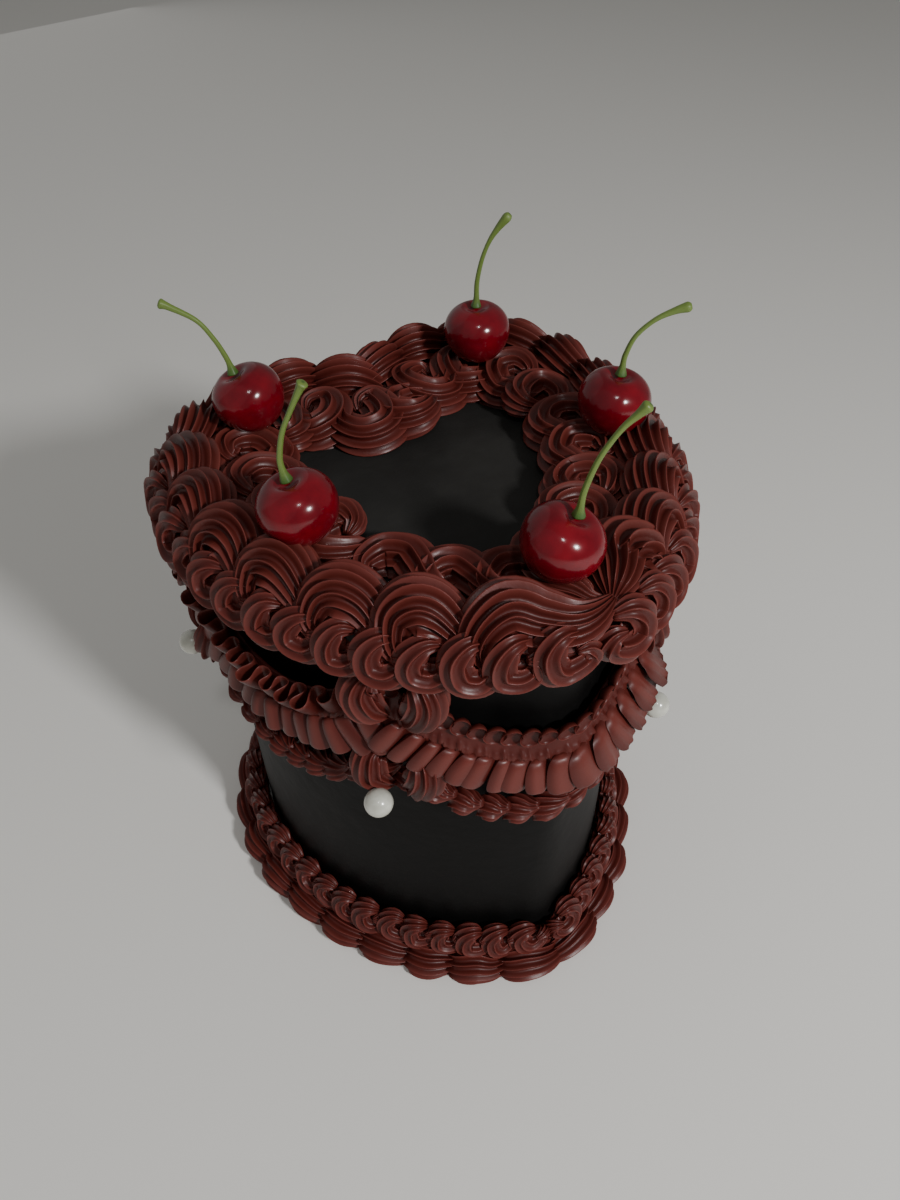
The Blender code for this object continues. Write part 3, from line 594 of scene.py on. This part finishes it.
keys = 0.001 * np.repeat(np.array(BEAD)[None], len(spots), 0)
keys *= 1 + 0.1 * rng.uniform(-1, 1, (len(spots), 1, 4))
a, b, h, radius = np.moveaxis(path(keys, STRING_RINGS), -1, 0)
spine = wall(spots[:, None] - a, b, heights[:, None] + h - slopes[:, None] * a)
turn = rng.uniform(-0.4, 0.4, (len(spots), 1)) + np.linspace(0, STRING_TWIST, STRING_RINGS)
creamed("swag_garland_strings", "swag_garland",
        *sweep(spine, radius, UPWARD, teeth=10, depth=0.28, each=6, turn=turn))

# The fans at the joints: two pairs of broad shells of buttercream, one at the swags' upper ends
# and one at the strings' ends. The two of a pair lean apart, and their tails meet below.
WING = [(6, 4.0, 11, 2.4), (9, 6.2, 9, 5.6), (9.8, 7.8, 4.4, 7.4), (8.2, 7.8, -0.5, 7.2),
        (5.2, 6.8, -4.4, 5.0), (2, 5.6, -7.2, 1.5)]
FAN_SPOTS = [-0.148, -0.043, 0.054, 0.155]
FAN_BASES = (0.0, 0.1690), (-0.0005, 0.1320)
grids = []
for base in FAN_BASES:
    for side in (1, -1):
        spots = np.array([*FAN_SPOTS, HALF_ARC * -side])
        toward = np.full(len(spots), float(side))
        grids.append(piped(WING, spots, toward, base, rings=28, teeth=12, depth=0.32, each=6))
creamed("swag_garland_fans", "swag_garland", *joined(grids))

# The foot: a ring of long shells of buttercream, piped flat round the base against the cake, and
# a ring of small curled shells on the wall over it, which hides their upper edge.
FOOT = [(-3.5, 6.5, 3.6, 4.0), (-2, 8.4, 5.6, 8.0), (3, 8.8, 6.0, 8.8), (9, 8.2, 5.0, 7.2),
        (15, 6.8, 3.4, 4.6), (20.5, 5.5, 2.2, 1.5)]
FOOT_COUNT, FOOT_BASE, FIRST_FOOT = 14, (0.0008, 0.0), 0.7
COLLAR = [(2, 3.2, 4.0, 1.8), (-1.2, 4.2, 5.6, 3.8), (-4, 4.6, 2.2, 5.0), (-3, 5.2, -2.6, 5.6),
          (1.4, 4.8, -4.2, 5.2), (5.2, 4.2, -1.8, 3.8), (4.6, 5.8, 1.6, 2.6), (2.4, 7.2, 2.0, 1.0)]
COLLAR_COUNT, COLLAR_BASE = 24, (0.0008, 0.0190)
heads = (np.arange(FOOT_COUNT) + FIRST_FOOT) * HALF_ARC / FOOT_COUNT
arcs = np.concatenate([heads, -heads]) + 0.0008 * rng.uniform(-1, 1, 2 * FOOT_COUNT)
grids, crests = piped(FOOT, arcs, -np.sign(arcs), FOOT_BASE, rings=30, teeth=14, depth=0.32, each=6)
grids[..., 2] = np.maximum(grids[..., 2], 0.0)
creamed("foot_shell_ring_cream", "foot_shell_ring", grids, crests)
curled_ring("collar_shell_ring_cream", "collar_shell_ring", COLLAR, COLLAR_COUNT, COLLAR_BASE,
            rings=30, teeth=10, depth=0.3, each=6)

# The pearls: round sugar beads with a pearly off-white coat, pressed into the cream where the
# tails of the lower fans meet. The one at the notch stands a little further out.
PEARL_RADIUS, PEARL_OUT, PEARL_HEIGHT, NOTCH_PEARL_OUT = 0.005, 0.0157, 0.1262, 0.008
PEARL_SHADE, PEARL_LIGHT = (0.50, 0.50, 0.43, 1), (0.70, 0.70, 0.62, 1)


def ball(centre, radius):
    """Sphere as a grid from its lower to its upper pole."""
    down = np.linspace(math.pi - 0.03, 0.03, 32)[:, None]
    around = np.linspace(0, math.tau, 48, endpoint=False)
    rim = np.sin(down)
    grid = np.stack([rim * np.cos(around), rim * np.sin(around), np.cos(down) + 0 * around], -1)
    return (np.array(centre) + radius * grid)[None]


pearl, shader, place = material("pearl_coat", Roughness=0.22, Coat_Roughness=0.1, Specular_IOR_Level=0.6)
veil = place.noise(160.0, 3.0)
feed(veil.ramp(0.3, 0.75).mix(PEARL_SHADE, PEARL_LIGHT), shader, "Base Color")
feed(veil * 0.15 + 0.18, shader, "Roughness")
feed(veil * 0.3 + 0.45, shader, "Coat Weight")
bump(place, shader, veil, 0.00002)
for number, joint in enumerate((*JOINTS[1:-1], HALF_ARC)):
    centre = wall(joint, PEARL_OUT, PEARL_HEIGHT)
    if joint == HALF_ARC:
        centre = np.array([0.0, centre[1] + NOTCH_PEARL_OUT, PEARL_HEIGHT])
    bead = skin(f"pearl_{number + 1}_bead", ball(centre, PEARL_RADIUS))
    bead.data.materials.append(pearl)
    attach(bead, "root")
    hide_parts(f"pearl_{number + 1}")

# The cherries: glossy deep red fruit with broad shoulders and a hollow for the stem, set into
# the border while it was soft. Each leans a little, as it fell into the cream. A spot is the
# fruit's centre and its lean in radians.
CHERRIES = {
    "left_front": (-0.0577, -0.0192, 0.2175, -0.22),
    "tip": (0.0016, -0.0722, 0.2175, 0.38),
    "left_back": (-0.0483, 0.0481, 0.2175, -0.41),
    "right_back": (0.0459, 0.0501, 0.2175, -0.04),
    "right_front": (0.0607, -0.0181, 0.2175, 0.12),
}
CHERRY_RADIUS, SHOULDER, CHERRY_TALL = 0.0127, 0.04, 0.93
HOLLOW_DEEP, HOLLOW_WIDE = 0.0036, 0.0038
CHERRY_REDS = (0.098, 0.0013, 0.0058, 1), (0.192, 0.0032, 0.0102, 1)
SIDEWAYS, DEEP = np.array([0.874, -0.486, 0.0]), np.array([0.486, 0.874, 0.0])


def cherry(spot, crease_at):
    """Surface of revolution: a ball, wider at the shoulders, with a bell-shaped dimple on top.

    The radius is the sine of the angle down from the top, wider above by SHOULDER times its
    cosine; the height is its cosine, less the bell. A faint crease runs down one side.
    """
    down = np.linspace(0.02, math.pi - 0.02, 60)
    around = np.linspace(0, math.tau, 72, endpoint=False)
    out = CHERRY_RADIUS * np.sin(down) * (1 + SHOULDER * np.cos(down))
    up = CHERRY_RADIUS * (CHERRY_TALL * np.cos(down) - 0.03 * np.cos(2 * down))
    up -= HOLLOW_DEEP * np.exp(-(out / HOLLOW_WIDE) ** 2) * (np.cos(down) > 0)
    up += 0.0010 * np.exp(-(out / 0.003) ** 2) * (np.cos(down) < 0)
    crease = 1 - 0.014 * np.exp(-((np.cos(around - crease_at) - 1) / 0.02) ** 2)
    lean = spot[3]
    axis = UPWARD * math.cos(lean) + SIDEWAYS * math.sin(lean)
    aside = SIDEWAYS * math.cos(lean) - UPWARD * math.sin(lean)
    x = (out[:, None] * np.cos(around) * crease)[..., None] * aside
    y = (out[:, None] * np.sin(around) * crease)[..., None] * DEEP
    grid = x + y + (up[:, None] + 0 * around)[..., None] * axis
    return (grid + np.array(spot[:3]))[None, ::-1]


red, shader, place = material("cherry_skin", Roughness=0.2, Coat_Roughness=0.1, Specular_IOR_Level=0.35)
streak = place.noise(260.0, 5.0)
blotch = place.noise(70.0, 2.0)
feed((blotch * 0.7 + streak * 0.3).ramp(0.3, 0.7).mix(*CHERRY_REDS), shader, "Base Color")
feed(streak * 0.10 + 0.12, shader, "Roughness")
feed(blotch * 0.2 + 0.12, shader, "Coat Weight")
bump(place, shader, streak, 0.00003)
for number, (name, spot) in enumerate(CHERRIES.items()):
    fruit = skin("cherry_" + name + "_skin", cherry(spot, 1.0 + number))
    fruit.data.materials.append(red)
    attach(fruit, "root")
    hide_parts("cherry_" + name)

# The stems: thin green stalks that grew on the fruit, with a flared foot in the hollow and a
# knob at the cut end. A stem's points are sideways and up from its cherry's centre, in
# millimetres, and its radii go with them.
STEMS = {
    "left_front": [(-2.2, 10.0), (-2.9, 13.5), (-3.1, 18.0), (-1.3, 26.2), (1.9, 33.3), (5.1, 39.7),
                   (6.5, 42.2)],
    "tip": [(3.9, 9.7), (4.2, 13.0), (4.9, 19.0), (7.8, 28.9), (12.3, 37.5), (16.3, 42.2),
            (18.9, 45.1)],
    "left_back": [(-4.1, 9.5), (-4.6, 12.5), (-5.6, 16.0), (-8.2, 22.0), (-12.8, 28.8), (-20.8, 33.6),
                  (-24, 35)],
    "right_back": [(-0.5, 10.3), (-0.4, 13.5), (-0.2, 20.0), (1.4, 28.0), (3.8, 34.5), (6.9, 39.5),
                   (11.1, 44.6)],
    "right_front": [(1.2, 10.3), (1.4, 13.5), (1.9, 17.9), (4.4, 24.4), (9.8, 29.9), (15.8, 33.0),
                    (21.0, 34.6)],
}
STEM_RADII = [2.1, 1.15, 0.95, 0.85, 0.85, 1.2, 2.0]
STEM_RINGS, KNOB_END = 60, [1.0, 0.95, 0.8, 0.5]
STEM_GREENS = (0.045, 0.105, 0.018, 1), (0.135, 0.200, 0.040, 1)
green, shader, place = material("stem_skin", Roughness=0.45)
age = place.out(place.node("ShaderNodeAttribute", {"attribute_name": "crest"}), "Fac")
fleck = place.noise(420.0, 4.0)
feed((age + (fleck - 0.5) * 0.5).ramp(0.0, 1.0).mix(*STEM_GREENS), shader, "Base Color")
feed(fleck * 0.3 + 0.3, shader, "Roughness")
bump(place, shader, fleck, 0.00006)
for name, points in STEMS.items():
    keys = 0.001 * np.array([[(a, h, r) for (a, h), r in zip(points, STEM_RADII)]])
    line = path(keys, STEM_RINGS)
    line[0, -len(KNOB_END):, 2] *= KNOB_END
    spine = np.array(CHERRIES[name][:3]) + line[..., :1] * SIDEWAYS + line[..., 1:2] * UPWARD
    grid, _ = sweep(spine, line[..., 2], DEEP, teeth=5, depth=0.05, each=20)
    along = np.linspace(0, 1, STEM_RINGS)[None, :, None]
    stalk = skin(f"stem_{name}_stalk", grid, np.clip(along * 4, 0, 1))
    stalk.data.materials.append(green)
    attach(stalk, "root")
    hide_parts("stem_" + name)

# The stage: a plain pale floor under a dim, even room, with a small key light from the right
# front, a second above the camera, and two wide soft lights, from the left and from behind.
# The camera looks down along DEEP.
FLOOR_HALF, FLOOR_COLOUR = 3, (0.88, 0.86, 0.82, 1)
ROOM_COLOUR, ROOM_STRENGTH = (0.72, 0.72, 0.70, 1), 0.26
CAMERA_SPOT = (-0.1231, -0.2302, 0.3837)
CAMERA_DOWN, CAMERA_ROLL = math.radians(43.5), math.radians(-0.54)
CAMERA_LENS, SENSOR_WIDTH, CLIP_START = 27.09, 36.0, 0.01


def lamp(name, spot, target, power, size):
    """Round area light at a spot, aimed at a target."""
    light = bpy.data.lights.new(name, "AREA")
    light.shape = "DISK"
    light.energy, light.size = power, size
    made = bpy.data.objects.new(name, light)
    made.location = spot
    made.rotation_mode = "QUATERNION"
    made.rotation_quaternion = (Vector(target) - Vector(spot)).to_track_quat("-Z", "Y")
    bpy.context.scene.collection.objects.link(made)


floor = bpy.data.objects.new("floor", bpy.data.meshes.new("floor"))
corners = [(x * FLOOR_HALF, y * FLOOR_HALF, 0) for x, y in ((-1, -1), (1, -1), (1, 1), (-1, 1))]
floor.data.from_pydata(corners, [], [(0, 1, 2, 3)])
bpy.context.scene.collection.objects.link(floor)
pale, shader, place = material("pale_floor", Base_Color=FLOOR_COLOUR, Roughness=0.7)
floor.data.materials.append(pale)
lamp("key_light", (0.22, -1.10, 0.86), (0, 0, 0.15), power=13.5, size=0.15)
lamp("second_light", tuple(SIDEWAYS * 0.10 - DEEP * 0.75 + UPWARD * 1.25), (0, 0, 0.15),
     power=1.6, size=0.10)
lamp("fill_light", tuple(-SIDEWAYS * 0.9 - DEEP * 0.9 + UPWARD), (0, 0, 0.12), power=1.2, size=2.4)
lamp("back_light", (-0.5, 1.3, 0.7), (0, 0, 0.1), power=2.5, size=2.6)
world = bpy.data.worlds.new("dim_room")
world.use_nodes = True
room = world.node_tree.nodes["Background"]
room.inputs[0].default_value = ROOM_COLOUR
room.inputs[1].default_value = ROOM_STRENGTH
bpy.context.scene.world = world
forward = DEEP * math.cos(CAMERA_DOWN) - UPWARD * math.sin(CAMERA_DOWN)
above = DEEP * math.sin(CAMERA_DOWN) + UPWARD * math.cos(CAMERA_DOWN)
across = math.cos(CAMERA_ROLL) * SIDEWAYS + math.sin(CAMERA_ROLL) * above
above = math.cos(CAMERA_ROLL) * above - math.sin(CAMERA_ROLL) * SIDEWAYS
camera = bpy.data.objects.new("camera", bpy.data.cameras.new("camera"))
camera.data.lens = CAMERA_LENS
camera.data.sensor_width = SENSOR_WIDTH
camera.data.clip_start = CLIP_START
turned = Matrix(np.stack([across, above, -forward], 1).tolist()).to_4x4()
camera.matrix_world = Matrix.Translation(CAMERA_SPOT) @ turned
bpy.context.scene.collection.objects.link(camera)
bpy.context.scene.camera = camera
